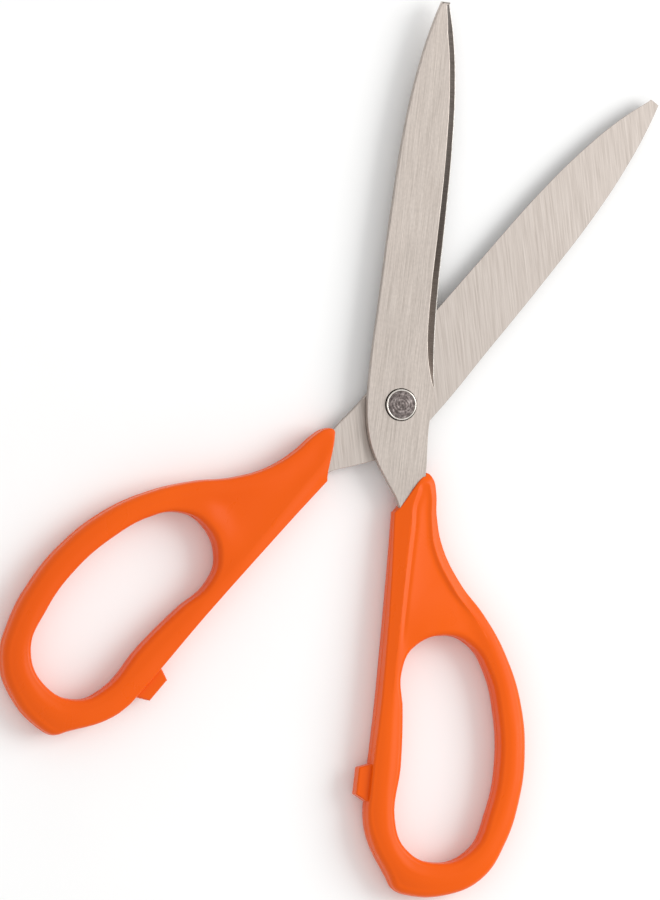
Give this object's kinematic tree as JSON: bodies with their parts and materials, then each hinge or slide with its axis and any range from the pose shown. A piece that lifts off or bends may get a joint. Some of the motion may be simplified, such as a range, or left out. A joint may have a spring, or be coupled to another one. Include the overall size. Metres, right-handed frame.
{
  "type": "fabric shears",
  "caption": "Hand shears for cloth: steel blades turning on a rivet, moulded handles with closed finger loops and a stop lug.",
  "frame": {"origin": "on the pivot's axis, at the flat end of the rivet's head, which is level with the undersides of the handles", "axes": "+Z along the pivot's axis, out of the front blade's outer face; +Y from the pivot towards the tips, halfway between the open blades"},
  "size_m": [0.115, 0.1728, 0.007],
  "materials": {
    "blade_steel": "stainless steel, brushed along the outer face and ground across the inner face",
    "handle_plastic": "satin-gloss moulded orange plastic",
    "rivet_steel": "dark steel with a rough peened end",
    "bright_steel": "bright turned steel"
  },
  "bodies": {
    "front_half": {"front_blade": "blade_steel", "front_handle": "handle_plastic", "pivot_rivet": "rivet_steel", "pivot_bush": "bright_steel", "rivet_washer": "bright_steel"},
    "rear_half": {"rear_blade": "blade_steel", "rear_handle": "handle_plastic"}
  },
  "joints": [
    {"name": "pivot", "type": "hinge", "parent": "front_half", "child": "rear_half", "pos_m": [0, 0, 0], "axis": [0, 0, -1], "range_deg": [-34.3, 80.7]}
  ]
}
